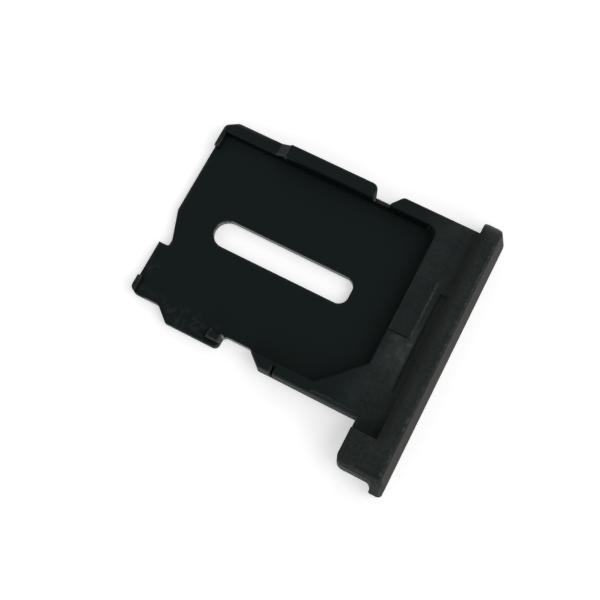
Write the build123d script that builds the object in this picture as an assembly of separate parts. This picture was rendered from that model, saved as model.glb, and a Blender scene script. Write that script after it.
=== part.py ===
"""Card tray of a phone, moulded in one piece of black plastic.

Plan axes: +X is the way the tray pulls out, towards the front bar.
+Y runs along the bar and +Z points up, out of the card seat.
The card centre is the datum while the shape is drawn. At the end the
solid moves so that its origin is the bottom centre of its box.
"""
from build123d import *
import os

# The card, a micro-size phone card
CARD_LENGTH = 15.0
CARD_WIDTH = 12.0
CARD_THICKNESS = 0.76
CARD_CORNER_CUT = 2.5
CARD_GAP = 0.08  # clearance left all round the card
RIM_OVER_CARD = 0.04  # how far the rails stand above the card

# Floor and rails
FLOOR_THICKNESS = 0.48
HOOK_WALL = 0.30  # thickness of the two end hooks
LOW_RIM_HEIGHT = 0.42  # rim at the hook end, above the floor
LOW_RIM_RAMP = 0.70
UPPER_RAIL_WIDTH = 0.89
LOWER_RAIL_WIDTH = 0.82
NOTCH_SETBACK = 0.12  # the lower notch cuts this far inside the card line
SEAT_CORNER_RADIUS = 0.60
RAIL_EDGE_RADIUS = 0.12
UPPER_HOOK_LENGTH = 1.15
LOWER_HOOK_LENGTH = 1.08
HOOK_CORNER_LENGTH = 0.80
HOOK_CORNER_WIDTH = 0.48
HOOK_CORNER_RADIUS = 0.40

# Side tabs and detent notches
UPPER_TAB_LENGTH = 6.30
UPPER_TAB_STEP = 0.12
UPPER_TAB_END = 3.05  # its rounded end, from the card centre
UPPER_TAB_RADIUS = 0.48
UPPER_NOTCH_LENGTH = 1.15
UPPER_NOTCH_WALL = 0.26  # rail left standing behind the notch
UPPER_NOTCH_RAMP = 0.57
LOWER_TAB_LENGTH = 3.68
LOWER_TAB_END = -1.25
LOWER_NOTCH_LENGTH = 2.88
LOWER_RAMP = 0.95  # plan length of the slanted starts of the lower tab and rail
LOWER_SWEEP_RADIUS = 0.45
TAB_CORNER_RADIUS = 0.34
NUB_LENGTH = 1.05
NUB_WIDTH = 0.50
NUB_SLOPE = 0.28
RAIL_SLIT_OFFSET = 0.80
RAIL_SLIT_WIDTH = 0.22
RAIL_SLIT_WALL = 0.27  # rail left standing behind the slit
LATCH_NOTCH_DEPTH = 0.68
LATCH_NOTCH_RAMP = 1.95
LATCH_NOTCH_FLAT = 0.46
LATCH_SWEEP_RADIUS = 0.30
LATCH_STEP_RADIUS = 0.15

# Slot through the floor
SLOT_LENGTH = 9.60
SLOT_WIDTH = 1.85
SLOT_OFFSET = -0.31
SLOT_SHIFT = -0.02
SLOT_SQUARE_RADIUS = 0.65

# Flange between the card seat and the front bar
FLANGE_WIDTH = 2.46
FLANGE_STEP = 0.09
PAD_LENGTH = 3.98
PAD_WIDTH = 1.48
PAD_HEIGHT = 0.12
PAD_OFFSET = 0.89
PAD_INSET = 0.06
GROOVE_LENGTH = 6.90
GROOVE_WIDTH = 0.50
GROOVE_DEPTH = 0.07
GROOVE_OFFSET = -1.15
PIN_MARK_DIAMETER = 0.62
PIN_MARK_DEPTH = 0.04
PIN_MARK_FROM_LUG = 0.10

# Front bar: a ridge, the door plate in front of it, and the lug at one end
BAR_HEIGHT = 2.15
RIDGE_WIDTH = 0.86
DOOR_THICKNESS = 0.86
DOOR_LENGTH = 18.46
DOOR_OFFSET = -1.25
DOOR_LEAN = 0.49  # the outer face leans back this far by its top
DOOR_END_SLANT = 0.78  # each end leans in this far by its top
DOOR_WIDEST = 0.85  # height at which the door is longest
DOOR_END_RADIUS = 0.60  # lower corners of the door, seen from the front
DOOR_END_TOP_RADIUS = 0.20
DOOR_OVERHANG = 0.56  # door past the ridge at the lug end
DOOR_TOP_RADIUS = 0.28
DOOR_FOOT_RADIUS = 0.12
DOOR_FLARE_RADIUS = 0.41
DOOR_TIP_RADIUS = 0.13
DOOR_TIP_OUTER_RADIUS = 0.39
PLAIN_END_RADIUS = 0.90  # outer corner of the plain end in plan
PLAIN_END_INNER_RADIUS = 0.45
PLAIN_END_TOP_RADIUS = 1.30  # the top rolls over into the plain end
LUG_REACH = 1.69
LUG_LENGTH = 2.25
LUG_CORNER_RADIUS = 0.58

# Derived lines, all measured from the card centre
seat_x = CARD_LENGTH / 2 + CARD_GAP
seat_y = CARD_WIDTH / 2 + CARD_GAP
rail_top = FLOOR_THICKNESS + CARD_THICKNESS + RIM_OVER_CARD
low_rim = FLOOR_THICKNESS + LOW_RIM_HEIGHT
left = -seat_x - HOOK_WALL
upper = seat_y + UPPER_RAIL_WIDTH
upper_tab = upper + UPPER_TAB_STEP
upper_flange = upper + FLANGE_STEP
lower_notch = NOTCH_SETBACK - seat_y
lower = -seat_y - LOWER_RAIL_WIDTH
ridge_x = seat_x + FLANGE_WIDTH
door_x = ridge_x + RIDGE_WIDTH
front = door_x + DOOR_THICKNESS
door_low = DOOR_OFFSET - DOOR_LENGTH / 2
door_high = DOOR_OFFSET + DOOR_LENGTH / 2
ridge_low = door_low + DOOR_OVERHANG
lug_x = ridge_x - LUG_REACH
lug_y = ridge_low + LUG_LENGTH
inside_bar = (ridge_x + door_x) / 2
tab_start = UPPER_TAB_END - UPPER_TAB_LENGTH
foot_start = LOWER_TAB_END - LOWER_TAB_LENGTH
rail_start = LOWER_TAB_END + LOWER_NOTCH_LENGTH
notch_end = UPPER_TAB_END + UPPER_NOTCH_LENGTH
over = rail_top + BAR_HEIGHT  # safely above every surface
margin = 1.0  # how far a cut runs past an edge


def area(x0, x1, y0, y1):
    """A rectangle in plan between two x lines and two y lines."""
    return Pos((x0 + x1) / 2, (y0 + y1) / 2) * Rectangle(x1 - x0, y1 - y0)


def near(shape, x, y):
    """The corner of a plan that lies nearest to a point."""
    return shape.vertices().sort_by_distance((x, y, 0))[0]


def rounded(shape, x, y, radius):
    """The plan with its corner nearest to a point rounded."""
    return fillet(near(shape, x, y), radius)


# Outline of the tray in plan: floor, tabs, rails and flange
plan = area(left, inside_bar, -seat_y, upper)
plan += area(tab_start, UPPER_TAB_END, 0, upper_tab)
plan += area(UPPER_TAB_END, inside_bar, 0, upper_flange)
plan += area(foot_start, LOWER_TAB_END, lower, 0)
plan += area(rail_start, inside_bar, lower, 0)
plan += area(lug_x, inside_bar, (lug_y + ridge_low) / 2, 0)

# Slanted starts of the upper tab, the lower tab and the lower rail
lead = [(tab_start - UPPER_TAB_STEP, upper), (tab_start, upper), (tab_start, upper_tab)]
plan += Polygon(*lead, align=None)
for start in (foot_start, rail_start):
    ramp = [(start - LOWER_RAMP, -seat_y), (start, lower), (start, -seat_y)]
    plan += Polygon(*ramp, align=None)

# The detent notch in the lower edge runs just inside the card line
plan -= area(LOWER_TAB_END, rail_start - LOWER_RAMP, lower - margin, lower_notch)

# The detent notch in the upper rail, with a ramp on its front side
notch_floor = seat_y + UPPER_NOTCH_WALL
plan -= Polygon(
    (UPPER_TAB_END, notch_floor),
    (notch_end, notch_floor),
    (notch_end + UPPER_NOTCH_RAMP, upper_flange),
    (notch_end + UPPER_NOTCH_RAMP, upper_tab + margin),
    (UPPER_TAB_END, upper_tab + margin),
    align=None,
)

# The latch notch in the left edge: a ramp, a short flat and a square step
latch_floor = left + LATCH_NOTCH_DEPTH
latch_step = -LATCH_NOTCH_RAMP - LATCH_NOTCH_FLAT
plan -= Polygon(
    (left - margin, 0),
    (left - margin, latch_step),
    (latch_floor, latch_step),
    (latch_floor, -LATCH_NOTCH_RAMP),
    (left, 0),
    align=None,
)

# Corners that sweep or round in plan
hook_start = left + HOOK_CORNER_LENGTH
hook_end = upper - HOOK_CORNER_WIDTH
plan -= Polygon((left, hook_end), (left, upper), (hook_start, upper), align=None)
plan = rounded(plan, left, hook_end, HOOK_CORNER_RADIUS)
plan = rounded(plan, hook_start, upper, HOOK_CORNER_RADIUS)
plan = rounded(plan, left, -seat_y, HOOK_CORNER_RADIUS)
plan = rounded(plan, UPPER_TAB_END, upper_tab, UPPER_TAB_RADIUS)
plan = rounded(plan, notch_end + UPPER_NOTCH_RAMP, upper_flange, TAB_CORNER_RADIUS)
plan = rounded(plan, foot_start - LOWER_RAMP, -seat_y, LOWER_SWEEP_RADIUS)
plan = rounded(plan, LOWER_TAB_END, lower, TAB_CORNER_RADIUS)
plan = rounded(plan, LOWER_TAB_END, lower_notch, TAB_CORNER_RADIUS)
plan = rounded(plan, rail_start - LOWER_RAMP, lower_notch, NOTCH_SETBACK / 2)
plan = rounded(plan, latch_floor, -LATCH_NOTCH_RAMP, LATCH_SWEEP_RADIUS)
plan = rounded(plan, latch_floor, latch_step, LATCH_STEP_RADIUS)

# Raise the outline to rail height and soften its upper rim
tray = extrude(plan, rail_top)
tray = fillet(tray.faces().sort_by(Axis.Z)[-1].outer_wire().edges(), RAIL_EDGE_RADIUS)

# Towards the hooks the rim ramps down, and it is as low behind the notch
low_end = Plane.XZ * Polygon(
    (left - margin, low_rim),
    (tab_start - LOW_RIM_RAMP, low_rim),
    (tab_start, rail_top),
    (tab_start, over),
    (left - margin, over),
    align=None,
)
tray -= extrude(low_end, 2 * upper_tab, both=True)
low_notch = area(UPPER_TAB_END, notch_end, 0, upper_tab)
tray -= Pos(0, 0, low_rim) * extrude(low_notch, over)

# The card seat: the card's own shape, with the cut corner kept
seat = area(-seat_x, seat_x, -seat_y, seat_y)
seat = chamfer(near(seat, seat_x, -seat_y), CARD_CORNER_CUT)
seat = rounded(seat, seat_x, seat_y, SEAT_CORNER_RADIUS)

# Parts of the rim that stay at floor level: the mouth and the lower tab
nub_start = LOWER_TAB_END - NUB_LENGTH
seat += area(left - margin, 0, LOWER_HOOK_LENGTH - seat_y, seat_y - UPPER_HOOK_LENGTH)
seat += area(-seat_x, nub_start, lower - margin, 0)
seat += area(nub_start - margin, LOWER_TAB_END + margin, lower - margin, -seat_y - NUB_WIDTH)
tray -= Pos(0, 0, FLOOR_THICKNESS) * extrude(seat, over)

# The nub at the end of the lower tab has a sloping back
nub_back = Plane.XZ * Polygon(
    (nub_start, FLOOR_THICKNESS),
    (nub_start + NUB_SLOPE, rail_top),
    (nub_start, rail_top),
    align=None,
)
tray -= Pos(0, lower, 0) * extrude(nub_back, LOWER_RAIL_WIDTH, both=True)

# The slit across the start of the lower rail
slit_x = rail_start + RAIL_SLIT_OFFSET
slit = area(slit_x, slit_x + RAIL_SLIT_WIDTH, lower - margin, -seat_y - RAIL_SLIT_WALL)
tray -= Pos(0, 0, FLOOR_THICKNESS) * extrude(slit, over)

# The slot through the floor, round at one end and squarer at the other
slot = SlotOverall(SLOT_LENGTH, SLOT_WIDTH)
slot += area(0, SLOT_LENGTH / 2, -SLOT_WIDTH / 2, SLOT_WIDTH / 2)
slot = fillet(slot.vertices().group_by(Axis.X)[-1], SLOT_SQUARE_RADIUS)
slot = Pos(SLOT_OFFSET, SLOT_SHIFT) * slot
tray -= extrude(slot, over)

# Front bar in plan: ridge, door plate and lug, with a flare behind the door's tip
bar = area(ridge_x, front, ridge_low, door_high)
bar += area(door_x, front, door_low, door_high)
bar += area(lug_x, ridge_x, ridge_low, lug_y)
bar = rounded(bar, lug_x, ridge_low, LUG_CORNER_RADIUS)
bar = rounded(bar, door_x, ridge_low, DOOR_FLARE_RADIUS)
bar = rounded(bar, door_x, door_low, DOOR_TIP_RADIUS)
bar = rounded(bar, front, door_low, DOOR_TIP_OUTER_RADIUS)
bar = rounded(bar, ridge_x, door_high, PLAIN_END_INNER_RADIUS)

# Seen from the front both ends lean in to the top and round under at the foot
half = DOOR_LENGTH / 2
top_end = half - DOOR_END_SLANT
strip = Polygon(
    (-half, 0),
    (half, 0),
    (half, DOOR_WIDEST),
    (top_end, BAR_HEIGHT),
    (-top_end, BAR_HEIGHT),
    (-half, DOOR_WIDEST),
    align=None,
)
for end, top_radius in ((-1, DOOR_END_TOP_RADIUS), (1, PLAIN_END_TOP_RADIUS)):
    strip = rounded(strip, end * half, 0, DOOR_END_RADIUS)
    strip = rounded(strip, end * half, DOOR_WIDEST, DOOR_END_RADIUS)
    strip = rounded(strip, end * top_end, BAR_HEIGHT, top_radius)
strip = Plane.YZ * Pos(DOOR_OFFSET, 0) * strip

# Seen from the end its outer face leans back towards the card
side = Polygon(
    (lug_x - margin, 0),
    (front, 0),
    (front - DOOR_LEAN, BAR_HEIGHT),
    (lug_x - margin, BAR_HEIGHT),
    align=None,
)
side = rounded(side, front, 0, DOOR_FOOT_RADIUS)
side = rounded(side, front - DOOR_LEAN, BAR_HEIGHT, DOOR_TOP_RADIUS)
side = Plane.XZ * side

# The rounded corner of the plain end leans back with the outer face
lean = area(lug_x - margin, front, door_low - margin, door_high)
lean = rounded(lean, front, door_high, PLAIN_END_RADIUS)
lean = extrude(lean, over, dir=(-DOOR_LEAN, 0, BAR_HEIGHT))
body = extrude(bar, BAR_HEIGHT) & lean
body &= extrude(strip, 2 * front, both=True)
body &= extrude(side, DOOR_LENGTH, both=True)

# The raised plain pad on the flange
pad_x = seat_x + PAD_INSET
pad = area(pad_x, pad_x + PAD_WIDTH, PAD_OFFSET - PAD_LENGTH / 2, PAD_OFFSET + PAD_LENGTH / 2)
pad = extrude(pad, rail_top + PAD_HEIGHT)
pad = chamfer(pad.faces().sort_by(Axis.Z)[-1].edges(), PAD_HEIGHT / 2)

# The shallow groove at the foot of the ridge and a round ejector pin mark
groove_low = GROOVE_OFFSET - GROOVE_LENGTH / 2
groove = area(ridge_x - GROOVE_WIDTH, ridge_x, groove_low, groove_low + GROOVE_LENGTH)
pin_mark = Pos(lug_x - PIN_MARK_FROM_LUG, -seat_y) * Circle(PIN_MARK_DIAMETER / 2)

sim_tray = tray + body + pad
sim_tray -= Pos(0, 0, rail_top - GROOVE_DEPTH) * extrude(groove, over)
sim_tray -= Pos(0, 0, rail_top - PIN_MARK_DEPTH) * extrude(pin_mark, over)

# Put the origin at the bottom centre of the box
box = sim_tray.bounding_box()
sim_tray = Pos(-box.center().X, -box.center().Y, -box.min.Z) * sim_tray

os.makedirs("parts", exist_ok=True)
export_step(sim_tray, "parts/sim_tray.step")
print("box", box.size, "volume", sim_tray.volume, "solids", len(sim_tray.solids()))
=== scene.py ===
# %% [markdown]
# # A phone's card tray
# The tray is one moulding of black plastic, hardly larger than a fingertip.
# Its solid comes from the CAD frame, at real size and in place.
# What is left for Blender is the look: soft moulded edges, the grain of the mould,
# edges rubbed by use, and light that lets black plastic show its shape.

# %% Load the frame
import math

import bpy
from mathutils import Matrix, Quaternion, Vector
from mathutils.kdtree import KDTree


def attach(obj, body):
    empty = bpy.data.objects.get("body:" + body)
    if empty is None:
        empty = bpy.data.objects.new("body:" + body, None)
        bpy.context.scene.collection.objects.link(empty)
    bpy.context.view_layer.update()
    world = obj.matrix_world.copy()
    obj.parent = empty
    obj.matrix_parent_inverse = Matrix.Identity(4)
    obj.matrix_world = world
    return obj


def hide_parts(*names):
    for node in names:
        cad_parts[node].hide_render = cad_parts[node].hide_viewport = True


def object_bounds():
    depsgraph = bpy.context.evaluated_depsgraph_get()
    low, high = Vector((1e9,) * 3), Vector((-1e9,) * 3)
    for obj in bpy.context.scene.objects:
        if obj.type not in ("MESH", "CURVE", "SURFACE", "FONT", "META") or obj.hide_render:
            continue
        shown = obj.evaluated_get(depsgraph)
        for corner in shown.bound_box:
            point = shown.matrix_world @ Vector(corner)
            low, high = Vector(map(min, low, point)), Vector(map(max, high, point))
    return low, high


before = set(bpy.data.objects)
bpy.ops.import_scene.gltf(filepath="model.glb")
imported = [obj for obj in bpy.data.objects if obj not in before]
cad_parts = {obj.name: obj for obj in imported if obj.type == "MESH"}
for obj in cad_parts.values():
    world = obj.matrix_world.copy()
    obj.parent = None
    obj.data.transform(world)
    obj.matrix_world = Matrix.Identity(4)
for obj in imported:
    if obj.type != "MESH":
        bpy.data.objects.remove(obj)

MM = 0.001
cad_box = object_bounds()
box_low, box_high = cad_box
print("box of the solid, mm:", [round(side / MM, 2) for side in box_high - box_low])

# %% [markdown]
# ## The camera
# The tray lies flat and is seen from above, tilted a little towards the near side.
# A camera can be aimed with a constraint, but a place, a point to aim at and a roll
# say the same thing in three plain values and leave nothing live in the file.

# %% Camera above the tray
VIEW_PLACE = Vector((9.150, -15.383, 60.377)) * MM
VIEW_AIM = Vector((-0.109, -0.412, 0.0)) * MM
VIEW_ROLL = math.radians(-4.42)
VIEW_LENS = 60.0  # millimetres, on a frame 36 mm wide
NEAREST = 1.0 * MM
FARTHEST = 5.0

bpy.ops.object.select_all(action="DESELECT")
bpy.ops.object.camera_add(location=VIEW_PLACE)
camera = bpy.context.object
camera.name = "tray_camera"
camera.data.lens = VIEW_LENS
camera.data.clip_start = NEAREST
camera.data.clip_end = FARTHEST
towards_viewer = (VIEW_PLACE - VIEW_AIM).normalized()
view_turn = Quaternion(towards_viewer, VIEW_ROLL) @ towards_viewer.to_track_quat("Z", "Y")
camera.rotation_mode = "QUATERNION"
camera.rotation_quaternion = view_turn
bpy.context.scene.camera = camera
bpy.context.scene.view_settings.view_transform = "Standard"
print("camera", round((VIEW_PLACE - VIEW_AIM).length / MM, 1), "mm from its aim")

# %% [markdown]
# ## A short way to write nodes
# A material can be wired by hand, one line for each node, value and link.
# One small function does the same: it adds a node, sets its properties, and fills
# each socket with a value or with a link from another node.

# %% Helper for nodes
def put(tree, kind, sockets=None, **settings):
    """Add a shader node, with its properties and its sockets filled."""
    node = tree.nodes.new("ShaderNode" + kind)
    for name, value in settings.items():
        setattr(node, name, value)
    for name, value in (sockets or {}).items():
        if isinstance(value, bpy.types.NodeSocket):
            tree.links.new(value, node.inputs[name])
        else:
            node.inputs[name].default_value = value
    return node


def blank_tree(owner):
    """The node tree of a material or a world, emptied."""
    owner.use_nodes = True
    owner.node_tree.nodes.clear()
    return owner.node_tree


def calc(tree, operation, first, second=0.0):
    """One step of arithmetic on two sockets or numbers."""
    return put(tree, "Math", {0: first, 1: second}, operation=operation).outputs[0]


def rise(tree, value, start, end):
    """A mask that eases from 0 at start to 1 at end."""
    sockets = {"Value": value, "From Min": start, "From Max": end}
    return put(tree, "MapRange", sockets, interpolation_type="SMOOTHSTEP").outputs[0]


def mix(tree, factor, first, second):
    """A number between two numbers."""
    return put(tree, "Mix", {0: factor, 2: first, 3: second}).outputs[0]


def seen_directly(tree):
    """One for camera, mirror and see-through rays, so all of them meet the same backdrop."""
    path = put(tree, "LightPath")
    glossy = calc(tree, "MAXIMUM", path.outputs["Is Camera Ray"], path.outputs["Is Glossy Ray"])
    return calc(tree, "MAXIMUM", glossy, path.outputs["Is Transmission Ray"])


# %% [markdown]
# ## The white table
# A product table is white paper that runs on past the edge of the picture.
# A plain white colour alone renders grey where the light is weak. So part of the white
# is given off by the paper itself, only for rays that look at it, and the rest is
# lit by the lamp and the tent, which keeps the tray's soft shadow on it.

# %% White paper under the tray
PAPER_SIDE = 2.0
PAPER_DROP = 0.004 * MM  # keeps the paper clear of the flat underside
PAPER_COLOUR = (0.86, 0.86, 0.86, 1.0)
PAPER_GLOW = 0.45

bpy.ops.object.select_all(action="DESELECT")
bpy.ops.mesh.primitive_plane_add(size=PAPER_SIDE, location=(0, 0, box_low.z - PAPER_DROP))
paper = bpy.context.object
paper.name = "paper"
paper_finish = bpy.data.materials.new("white_paper")
tree = blank_tree(paper_finish)
matt = put(tree, "BsdfDiffuse", {"Color": PAPER_COLOUR})
glow_strength = calc(tree, "MULTIPLY", seen_directly(tree), PAPER_GLOW)
glow = put(tree, "Emission", {"Strength": glow_strength})
white = put(tree, "AddShader", {0: matt.outputs[0], 1: glow.outputs[0]})
put(tree, "OutputMaterial", {"Surface": white.outputs[0]})
paper.data.materials.append(paper_finish)
print("paper", paper.name, "glow", PAPER_GLOW)

# %% [markdown]
# ## Light for black plastic
# Black plastic shows what it mirrors rather than its own colour.
# So the tray stands in a round tent with bright sides and a dim top: the flat faces, which
# look up, stay dark, and tilted edges and the bar's outer face catch the light.
# A soft lamp high on the side of the bar adds light to the plastic's own colour, from a
# direction that the flat faces don't mirror to the camera.

# %% Tent: bright sides and a dim top
TENT_COLOUR = (1.0, 1.0, 1.0, 1.0)
TENT_SIDES = 1.45
TENT_TOP = 0.08
TENT_BACK = 0.60  # share of the brightness that is left on the side away from the bar
FADE_START = 0.50  # height in the sky, where 0 is the horizon and 1 is straight up
FADE_END = 0.80
BACK_START = -0.2  # the same measure along the tray, where -1 is straight away from the bar
BACK_END = -0.8

world = bpy.data.worlds.new("tent")
bpy.context.scene.world = world
tree = blank_tree(world)
sky = put(tree, "SeparateXYZ", {0: put(tree, "TexCoord").outputs["Generated"]})
top = rise(tree, sky.outputs["Z"], FADE_START, FADE_END)
back = rise(tree, sky.outputs["X"], BACK_START, BACK_END)
sides = mix(tree, back, TENT_SIDES, TENT_SIDES * TENT_BACK)
level = mix(tree, top, sides, TENT_TOP)
tent = put(tree, "Background", {"Color": TENT_COLOUR, "Strength": level})
put(tree, "OutputWorld", {"Surface": tent.outputs[0]})
print("tent sides", TENT_SIDES, "top", TENT_TOP)

# %% Soft lamp over the bar
LAMP_AIM = Vector((0.62, 0.05, 0.78)).normalized()
LAMP_DISTANCE = 300 * MM
LAMP_SIDE = 210 * MM
LAMP_SHARE = 0.22  # of the light that would make white paper white

bpy.ops.object.select_all(action="DESELECT")
bpy.ops.object.light_add(type="AREA", location=LAMP_AIM * LAMP_DISTANCE)
lamp = bpy.context.object
lamp.name = "lamp_over_bar"
lamp.rotation_mode = "QUATERNION"
lamp.rotation_quaternion = LAMP_AIM.to_track_quat("Z", "Y")
lamp.data.shape = "SQUARE"
lamp.data.size = LAMP_SIDE
# a square lamp sends energy / (pi * distance squared) straight ahead to each square metre
lamp.data.energy = LAMP_SHARE * (math.pi * LAMP_DISTANCE) ** 2 / LAMP_AIM.z
print(lamp.name, "at", [round(v / MM) for v in lamp.location], "mm,", round(lamp.data.energy, 3), "W")

# %% [markdown]
# ## The tray with soft edges
# A mould never gives a perfectly sharp corner, and a hair of rounding is what catches
# the light. The solid itself is left alone. A copy of it is merged, its flat faces are
# made whole again, and its outer edges get a narrow bevel. The pad, the groove, the pin mark
# and the rim of the seat keep their sharp edges: they are too shallow for a bevel,
# or show as thin dark lines.

# %% Copy of the solid with its flat faces made whole
MERGE = 0.0005 * MM
FLAT = math.radians(0.6)

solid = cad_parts["sim_tray"]
bpy.ops.object.select_all(action="DESELECT")
tray = solid.copy()
tray.data = solid.data.copy()
tray.name = "tray"
tray.parent = None
bpy.context.scene.collection.objects.link(tray)
tray.select_set(True)
bpy.context.view_layer.objects.active = tray
bpy.ops.object.mode_set(mode="EDIT")
bpy.ops.mesh.customdata_custom_splitnormals_clear()
bpy.ops.mesh.select_all(action="SELECT")
bpy.ops.mesh.remove_doubles(threshold=MERGE)
bpy.ops.mesh.dissolve_limited(angle_limit=FLAT)
bpy.ops.object.mode_set(mode="OBJECT")
print("tray copy:", len(tray.data.vertices), "points,", len(tray.data.polygons), "faces")

# %% Remember where the outer edges and the inner corners are
import bmesh

SHARP = math.radians(35)
STEP = 0.04 * MM
PIN_MARK = Vector((6.325, -4.83, 1.28)) * MM
PIN_MARK_REACH = 0.5 * MM
PAD_LOW = Vector((5.70, -3.45, 1.15)) * MM  # a box round the pad and the groove beside it
PAD_HIGH = Vector((8.05, 4.20, 1.45)) * MM
RIM_LOW = Vector((-9.60, -4.90, 1.20)) * MM  # a box round the upper rim of the seat
RIM_HIGH = Vector((5.70, 7.40, 1.35)) * MM
SHADE_TOP = 0.6 * MM  # inner corners below this height lie at the foot of the seat's walls


def inside(point, low, high):
    """True where a point lies in a box."""
    return all(a < p < b for a, p, b in zip(low, point, high))


def points_along(edges):
    """A search tree of points, evenly spaced along some edges."""
    points = []
    for edge in edges:
        start, end = (corner.co for corner in edge.verts)
        steps = max(1, round((end - start).length / STEP))
        points += [start.lerp(end, i / steps) for i in range(steps + 1)]
    found = KDTree(len(points))
    for index, point in enumerate(points):
        found.insert(point, index)
    found.balance()
    return found


shape = bmesh.new()
shape.from_mesh(tray.data)
outer, inner = [], []
for edge in shape.edges:
    bend = edge.calc_face_angle_signed(0)
    middle = (edge.verts[0].co + edge.verts[1].co) / 2
    shallow = inside(middle, PAD_LOW, PAD_HIGH) or (middle - PIN_MARK).length < PIN_MARK_REACH
    seat_rim = inside(middle, RIM_LOW, RIM_HIGH)
    edge.select_set(False)
    if bend > SHARP and not shallow and not seat_rim:
        edge.select_set(True)
        outer.append(edge)
    elif abs(bend) > SHARP:
        edge.smooth = False
        if seat_rim or (edge.verts[0].co.z < SHADE_TOP and not shallow):
            inner.append(edge)
outer_edges = points_along(outer)
inner_corners = points_along(inner)
shape.to_mesh(tray.data)
shape.free()
print(len(outer), "outer edges,", len(inner), "edges round the seat to be shaded")

# %% Bevel the sharp edges
from mathutils.bvhtree import BVHTree

EDGE_ROUND = 0.015 * MM
EDGE_STEPS = 2
STRAY_OUT = 0.0005 * MM  # a bevel only cuts away, so no point may lie outside the solid
STRAY_IN = 2 * EDGE_ROUND  # nor deeper than a bevel can cut

corners = [corner.co.copy() for corner in tray.data.vertices]
skin = BVHTree.FromPolygons(corners, [face.vertices[:] for face in tray.data.polygons])
bpy.ops.object.mode_set(mode="EDIT")
bpy.ops.mesh.select_mode(type="EDGE")
bpy.ops.mesh.bevel(offset=EDGE_ROUND, segments=EDGE_STEPS, clamp_overlap=True, face_strength_mode="ALL")
bpy.ops.mesh.select_all(action="SELECT")
bpy.ops.mesh.remove_doubles(threshold=MERGE)
bpy.ops.object.mode_set(mode="OBJECT")
strays = 0
for corner in tray.data.vertices:
    spot, normal, _, distance = skin.find_nearest(corner.co)
    if distance > STRAY_IN or (corner.co - spot).dot(normal) > STRAY_OUT:
        corner.co = spot
        strays += 1
    corner.co.z = max(corner.co.z, box_low.z)
print(strays, "stray points put back on the solid")
print("bevelled tray:", len(tray.data.vertices), "points,", len(tray.data.polygons), "faces")

# %% [markdown]
# ## Points enough to carry the wear
# Large flat faces have no points inside them, so nothing can change across them.
# Cutting the mesh along an even grid leaves its shape as it was and gives it
# points everywhere, and each point then knows how far it is from an outer edge.

# %% Cut the mesh along an even grid
GRID = 0.16 * MM

bpy.ops.object.mode_set(mode="EDIT")
for axis in (Vector((1, 0, 0)), Vector((0, 1, 0))):
    reach = axis.dot(box_high)
    place = GRID / 2 - reach
    while place < reach:
        bpy.ops.mesh.select_all(action="SELECT")
        bpy.ops.mesh.bisect(plane_co=axis * place, plane_no=axis)
        place += GRID
bpy.ops.object.mode_set(mode="OBJECT")
print("broken faces mended:", tray.data.validate())
print("gridded tray:", len(tray.data.vertices), "points,", len(tray.data.polygons), "faces")

# %% Write wear and corner shade on the points
WEAR_REACH = 0.22 * MM
SHADE_REACH = 0.20 * MM


def write_closeness(name, search, reach):
    """Store on each point 1 at the nearest found line, falling to 0 at the reach."""
    layer = tray.data.attributes.new(name, "FLOAT", "POINT")
    for index, corner in enumerate(tray.data.vertices):
        distance = search.find(corner.co)[2]
        layer.data[index].value = max(0.0, 1 - distance / reach)
    print(name, "on", len(layer.data), "points")


write_closeness("edge_wear", outer_edges, WEAR_REACH)
write_closeness("corner_shade", inner_corners, SHADE_REACH)

# %% Smooth shading led by the large faces
bpy.ops.object.shade_smooth()
for face in tray.data.polygons:
    if (face.center - PIN_MARK).length < PIN_MARK_REACH:
        face.use_smooth = False
weighted = tray.modifiers.new("large_faces_lead", "WEIGHTED_NORMAL")
weighted.use_face_influence = True
weighted.keep_sharp = True
bpy.ops.object.modifier_apply(modifier=weighted.name)
print("shaded", tray.name)

# %% [markdown]
# ## Black plastic
# The tray has one material and several finishes, as the mould and the use left them: a smooth
# seat, a satin flange, a coarse sparkling bar and a plain outer face. They could be painted
# on a picture, but a picture blurs near the camera. Masks made from the place on the tray,
# in millimetres, and from the way a face looks choose between the finishes instead.

# %% Place and direction on the tray
plastic = bpy.data.materials.new("black_plastic")
tree = blank_tree(plastic)
coordinates = put(tree, "TexCoord")
place = put(tree, "VectorMath", {0: coordinates.outputs["Object"], "Scale": 1 / MM}, operation="SCALE")
place = place.outputs[0]
across, along, height = put(tree, "SeparateXYZ", {0: place}).outputs
facing = put(tree, "SeparateXYZ", {0: coordinates.outputs["Normal"]}).outputs
facing_front = facing["X"]
facing_up = facing["Z"]
print("place in mm and direction for", plastic.name)


# %% Helpers for masks
def both(first, second):
    """A mask where two masks overlap."""
    return calc(tree, "MULTIPLY", first, second)


def either(first, second):
    """A mask that holds the stronger of two masks."""
    return calc(tree, "MAXIMUM", first, second)


def mask(value, limits):
    """A mask that rises between the first two limits and, given four, falls between the last two."""
    start, full, *rest = limits
    found = rise(tree, value, start, full)
    if rest:
        fade, end = rest
        found = both(found, rise(tree, value, end, fade))
    return found


def region(across_limits, along_limits):
    """A mask of one region of the plan."""
    return both(mask(across, across_limits), mask(along, along_limits))


def grain(scale, detail=2.0, roughness=0.55):
    """Even cloudy grain, with its size in grains to the millimetre."""
    sockets = {"Vector": place, "Scale": scale, "Detail": detail, "Roughness": roughness}
    return put(tree, "TexNoise", sockets).outputs["Fac"]


def blend(factor, first, second):
    """A colour between two colours."""
    return put(tree, "Mix", {0: factor, 6: first, 7: second}, data_type="RGBA").outputs[2]


def between(factor, first, second):
    """A number between two numbers."""
    return mix(tree, factor, first, second)


def stored(name):
    """A value written on the points of the mesh."""
    return put(tree, "Attribute", attribute_name=name).outputs["Fac"]


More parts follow.
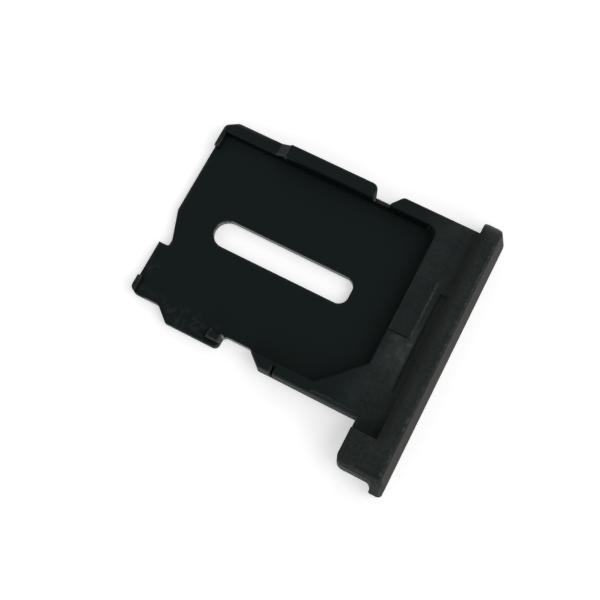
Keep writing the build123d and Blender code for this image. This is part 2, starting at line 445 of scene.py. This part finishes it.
# %% Masks of the seat, the flange and the bar
ABOVE_SEAT = (0.58, 0.78)  # heights in mm
ABOVE_RAILS = (1.48, 1.58)
FLANGE_ACROSS = (4.0, 6.2)  # places in mm
FLANGE_ALONG = (-7.5, -4.0)
SEAT_ACROSS = (5.95, 5.75)
SEAT_ALONG = (-5.0, -4.9, 7.4, 7.5)
STEEP_FACING = (0.60, 0.40)  # parts of a face's direction, where 1 is straight up or to the front
TILTED_FACING = (0.97, 0.90)
FRONT_FACING = (0.955, 0.972)

raised = mask(height, ABOVE_SEAT)
bar = mask(height, ABOVE_RAILS)
flange = both(raised, region(FLANGE_ACROSS, FLANGE_ALONG))
in_seat = region(SEAT_ACROSS, SEAT_ALONG)
out_of_seat = calc(tree, "SUBTRACT", 1.0, in_seat)
steep = mask(facing_up, STEEP_FACING)
seat_wall = both(steep, in_seat)
outside = both(steep, out_of_seat)
tilted = both(mask(facing_up, TILTED_FACING), out_of_seat)
front_face = mask(facing_front, FRONT_FACING)
print("masks of the seat, the flange and the bar")

# %% Lines along the bar
RIDGE_ACROSS = (8.80, 8.20)
RIDGE_ALONG = (-6.6, -6.1)
RIM_FACING = (0.10, 0.25, 0.55, 0.70)
UNDER_RIM_FACING = (0.62, 0.78, 0.955, 0.972)
LUG_LINE_ACROSS = (7.4, 7.9)
LUG_LINE_ALONG = (-8.50, -8.42, -8.32, -8.20)
FOOT_ACROSS = (7.1, 8.0, 8.2, 8.3)
BELOW_PAD = (1.45, 1.40)

# painted shade: the bar darkens towards the ridge's rounded inner edge, which faces away from the light
ridge_shade = both(bar, region(RIDGE_ACROSS, RIDGE_ALONG))
# painted highlight: a dashed bright line on the bar's rounded outer top edge
bar_rim_highlight = both(bar, mask(facing_front, RIM_FACING))
# painted shade: a dark line between the rim's highlight and the outer face
under_rim = both(bar, mask(facing_front, UNDER_RIM_FACING))
# painted shade: a dark line across the top of the lug's end
lug_end_line = both(bar, region(LUG_LINE_ACROSS, LUG_LINE_ALONG))
# painted fill light: the flange is lightened along the ridge's foot, in the bar's shadow
ridge_foot_fill = both(flange, both(mask(across, FOOT_ACROSS), mask(height, BELOW_PAD)))
print("lines along the bar")

# %% Grain and blotches
NOISE_MIDDLE = (0.36, 0.64)
NOISE_HIGH = (0.46, 0.66)

fine_grain = grain(scale=9.0)
coarse_grain = grain(scale=5.0, detail=3.0)
clouds = grain(scale=0.8, detail=4.0, roughness=0.6)
smears = grain(scale=2.2, detail=3.0)
speckle = mask(coarse_grain, NOISE_MIDDLE)
blotch = mask(clouds, NOISE_MIDDLE)
smear = mask(smears, NOISE_HIGH)
print("grain from 0.1 to 1.2 mm")

# %% [markdown]
# ## Worn places, with painted sheen and highlights
# A tray that is pulled and pushed gets polished where a nail or a finger rubs it. Below the pad the
# flange is worn shiny, and its sheen is painted as a paler colour. A bright band along the pad's
# front edge is a painted highlight, and the open end is scuffed.
# Each of these places is a region of the plan with a cloudy strength.

# %% Worn places, painted sheen and painted highlights
PATCH_ACROSS = (5.9, 6.6, 7.4, 7.6)
PATCH_ALONG = (-3.4, -0.9, 0.05, 0.15)
PATCH_STRENGTH = (0.16, 0.34)
BAND_ACROSS = (6.95, 7.30, 7.42, 7.62)
BAND_ALONG = (-3.6, -1.2, 0.6, 1.8)
BAND_STRENGTH = (0.28, 0.60)
BESIDE_PAD_ACROSS = (7.15, 7.30, 7.42, 7.62)
BESIDE_PAD_ALONG = (0.6, 1.2, 3.6, 5.2)
BESIDE_PAD_STRENGTH = 0.3
LOW_SCUFF_ACROSS = (-3.0, -3.8)
LOW_SCUFF_ALONG = (-3.9, -4.8)
HOOK_SCUFF_ACROSS = (-8.7, -9.3)
HOOK_SCUFF_ALONG = (-1.8, -2.8)

# a worn, shiny patch below the pad, its sheen painted as a paler colour
worn_sheen_patch = both(region(PATCH_ACROSS, PATCH_ALONG), between(smear, *PATCH_STRENGTH))
# painted highlight: a bright band along and beside the pad's front edge
highlight_beside_pad = both(region(BESIDE_PAD_ACROSS, BESIDE_PAD_ALONG), BESIDE_PAD_STRENGTH)
highlight_band = either(region(BAND_ACROSS, BAND_ALONG), highlight_beside_pad)
highlight_band = both(highlight_band, between(smear, *BAND_STRENGTH))
polished_sheen = both(raised, either(worn_sheen_patch, highlight_band))
# the scuffs at the open end are wear
low_scuff = region(LOW_SCUFF_ACROSS, LOW_SCUFF_ALONG)
hook_scuff = region(HOOK_SCUFF_ACROSS, HOOK_SCUFF_ALONG)
scuffed = both(either(low_scuff, hook_scuff), smear)
print("worn places")

# %% Lines of the pad and the groove: painted highlight and painted shade
PAD_LEVEL = (1.34, 1.38)
PAD_ACROSS = (7.3, 7.2)
PAD_FRONT_ACROSS = (7.06, 7.16, 7.20, 7.28)
PAD_FRONT_ALONG = (0.1, 0.3, 4.0, 4.25)
PAD_FRONT_NOISE = (0.40, 0.60)
PAD_FRONT_STRENGTH = (0.40, 0.85)
PAD_END_ACROSS = (5.74, 5.84, 6.95, 7.05)
PAD_END_ALONG = (0.02, 0.08, 0.18, 0.24)
GROOVE_ACROSS = (7.55, 7.59, 7.63, 7.68)
GROOVE_ALONG = (-3.4, -3.3, 3.5, 3.6)

on_pad = both(mask(height, PAD_LEVEL), mask(across, PAD_ACROSS))
# painted highlight: a broken bright line on the pad's front edge
pad_front_highlight_strength = between(mask(coarse_grain, PAD_FRONT_NOISE), *PAD_FRONT_STRENGTH)
pad_front_highlight = both(raised, both(region(PAD_FRONT_ACROSS, PAD_FRONT_ALONG), pad_front_highlight_strength))
# painted shade: dark lines at the pad's near foot and along the groove's edge
pad_end_line = both(raised, region(PAD_END_ACROSS, PAD_END_ALONG))
groove_line = both(raised, region(GROOVE_ACROSS, GROOVE_ALONG))
print("lines of the pad and the groove")

# %% [markdown]
# ## Colour
# Black plastic is a very dark grey with a hint of green. The finishes are laid over each
# other first, then the rubbed places, the painted sheen and the painted highlights in a paler
# grey, and painted shade last: dark corners, walls and lines where shade falls.

# %% Colours of the finishes
SMOOTH_BLACK = (0.0075, 0.0125, 0.0119, 1.0)
RAIL_BLACK = (0.0088, 0.0138, 0.0130, 1.0)
SATIN_DARK = (0.0050, 0.0105, 0.0098, 1.0)
SATIN_LIGHT = (0.0155, 0.0225, 0.0218, 1.0)
BAR_DARK = (0.0020, 0.0062, 0.0050, 1.0)
BAR_LIGHT = (0.0120, 0.0180, 0.0162, 1.0)
# painted shade for the ridge's inner edge
RIDGE_SHADE_BLACK = (0.0010, 0.0036, 0.0028, 1.0)
# painted warm light: the outer face's warm tint stands in for the warm light it mirrors
FRONT_BLACK = (0.0120, 0.0125, 0.0085, 1.0)
RAIL_BLOTCH = 0.5  # shares of the blotches, beside an even tone or the speckles
SATIN_BLOTCH = 0.5
BAR_BLOTCH = 0.3

rail_strength = both(raised, between(RAIL_BLOTCH, 1.0, blotch))
colour = blend(rail_strength, SMOOTH_BLACK, RAIL_BLACK)
satin = blend(between(SATIN_BLOTCH, speckle, blotch), SATIN_DARK, SATIN_LIGHT)
colour = blend(flange, colour, satin)
bar_colour = blend(between(BAR_BLOTCH, speckle, blotch), BAR_DARK, BAR_LIGHT)
bar_colour = blend(ridge_shade, bar_colour, RIDGE_SHADE_BLACK)
colour = blend(bar, colour, bar_colour)
colour = blend(front_face, colour, FRONT_BLACK)
print("finishes mixed")

# %% Rubbed places, painted highlights and painted shade
WEAR_AND_HIGHLIGHT_GREY = (0.105, 0.117, 0.115, 1.0)
PAINTED_SHADE_BLACK = (0.0008, 0.0012, 0.0012, 1.0)
WEAR_FADE = (0.55, 1.0)
EDGE_RUB = 0.12
SCUFF_RUB = 0.10
FOOT_FILL_LIGHT = 0.15
RIM_HIGHLIGHT = 0.2
RIM_NOISE = (0.50, 0.62)
CORNER_FADE = (0.35, 0.9)
CORNER_SHADE = 0.7
WALL_SHADE = 0.8
LUG_LINE_SHADE = 0.6
GROOVE_SHADE = 0.5
PAD_END_SHADE = 0.85
PAD_SHADE = 0.25

wear_and_highlights = both(both(mask(stored("edge_wear"), WEAR_FADE), speckle), EDGE_RUB)
# edge wear and scuffs are wear; polished places add painted sheen, the pad's front and the bar's rim
# painted highlights, the ridge's foot painted fill light
wear_and_highlights = either(wear_and_highlights, either(polished_sheen, pad_front_highlight))
wear_and_highlights = either(wear_and_highlights, either(both(scuffed, SCUFF_RUB), both(ridge_foot_fill, FOOT_FILL_LIGHT)))
wear_and_highlights = either(wear_and_highlights, both(bar_rim_highlight, both(mask(coarse_grain, RIM_NOISE), RIM_HIGHLIGHT)))
colour = blend(wear_and_highlights, colour, WEAR_AND_HIGHLIGHT_GREY)
# painted shade: inner corners and the seat's rim, the seat's walls, under the bar's rim, across the
# lug's end, along the groove, at the pad's near foot, and the pad a little darker
shade = both(mask(stored("corner_shade"), CORNER_FADE), CORNER_SHADE)
shade = either(shade, either(both(seat_wall, WALL_SHADE), under_rim))
shade = either(shade, either(both(lug_end_line, LUG_LINE_SHADE), both(groove_line, GROOVE_SHADE)))
shade = either(shade, either(both(pad_end_line, PAD_END_SHADE), both(on_pad, PAD_SHADE)))
colour = blend(shade, colour, PAINTED_SHADE_BLACK)
print("colours mixed")

# %% Roughness and bump
SEAT_ROUGHNESS = 0.25
FLANGE_ROUGHNESS = 0.44
TILTED_ROUGHNESS = 0.60
BAR_ROUGHNESS = 0.78
FINE_DEPTH = 0.4
COARSE_DEPTH = 1.6
BUMP_STRENGTH = 0.7
BUMP_DISTANCE = 0.012 * MM
PLASTIC_IOR = 1.38

roughness = between(flange, SEAT_ROUGHNESS, FLANGE_ROUGHNESS)
roughness = between(tilted, roughness, TILTED_ROUGHNESS)
roughness = between(either(bar, outside), roughness, BAR_ROUGHNESS)
depth = between(bar, both(fine_grain, FINE_DEPTH), both(coarse_grain, COARSE_DEPTH))
relief = put(tree, "Bump", {"Strength": BUMP_STRENGTH, "Distance": BUMP_DISTANCE, "Height": depth})
shader = put(tree, "BsdfPrincipled", {
    "Base Color": colour,
    "Roughness": roughness,
    "IOR": PLASTIC_IOR,
    "Normal": relief.outputs[0],
})
put(tree, "OutputMaterial", {"Surface": shader.outputs[0]})
print("plastic nodes:", len(tree.nodes))

# %% [markdown]
# ## Hand the tray to the frame
# The dressed copy stands for the solid and rides on the one body of the part.

# %% Dress the tray and finish
tray.data.materials.clear()
tray.data.materials.append(plastic)
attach(tray, "root")
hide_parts("sim_tray")
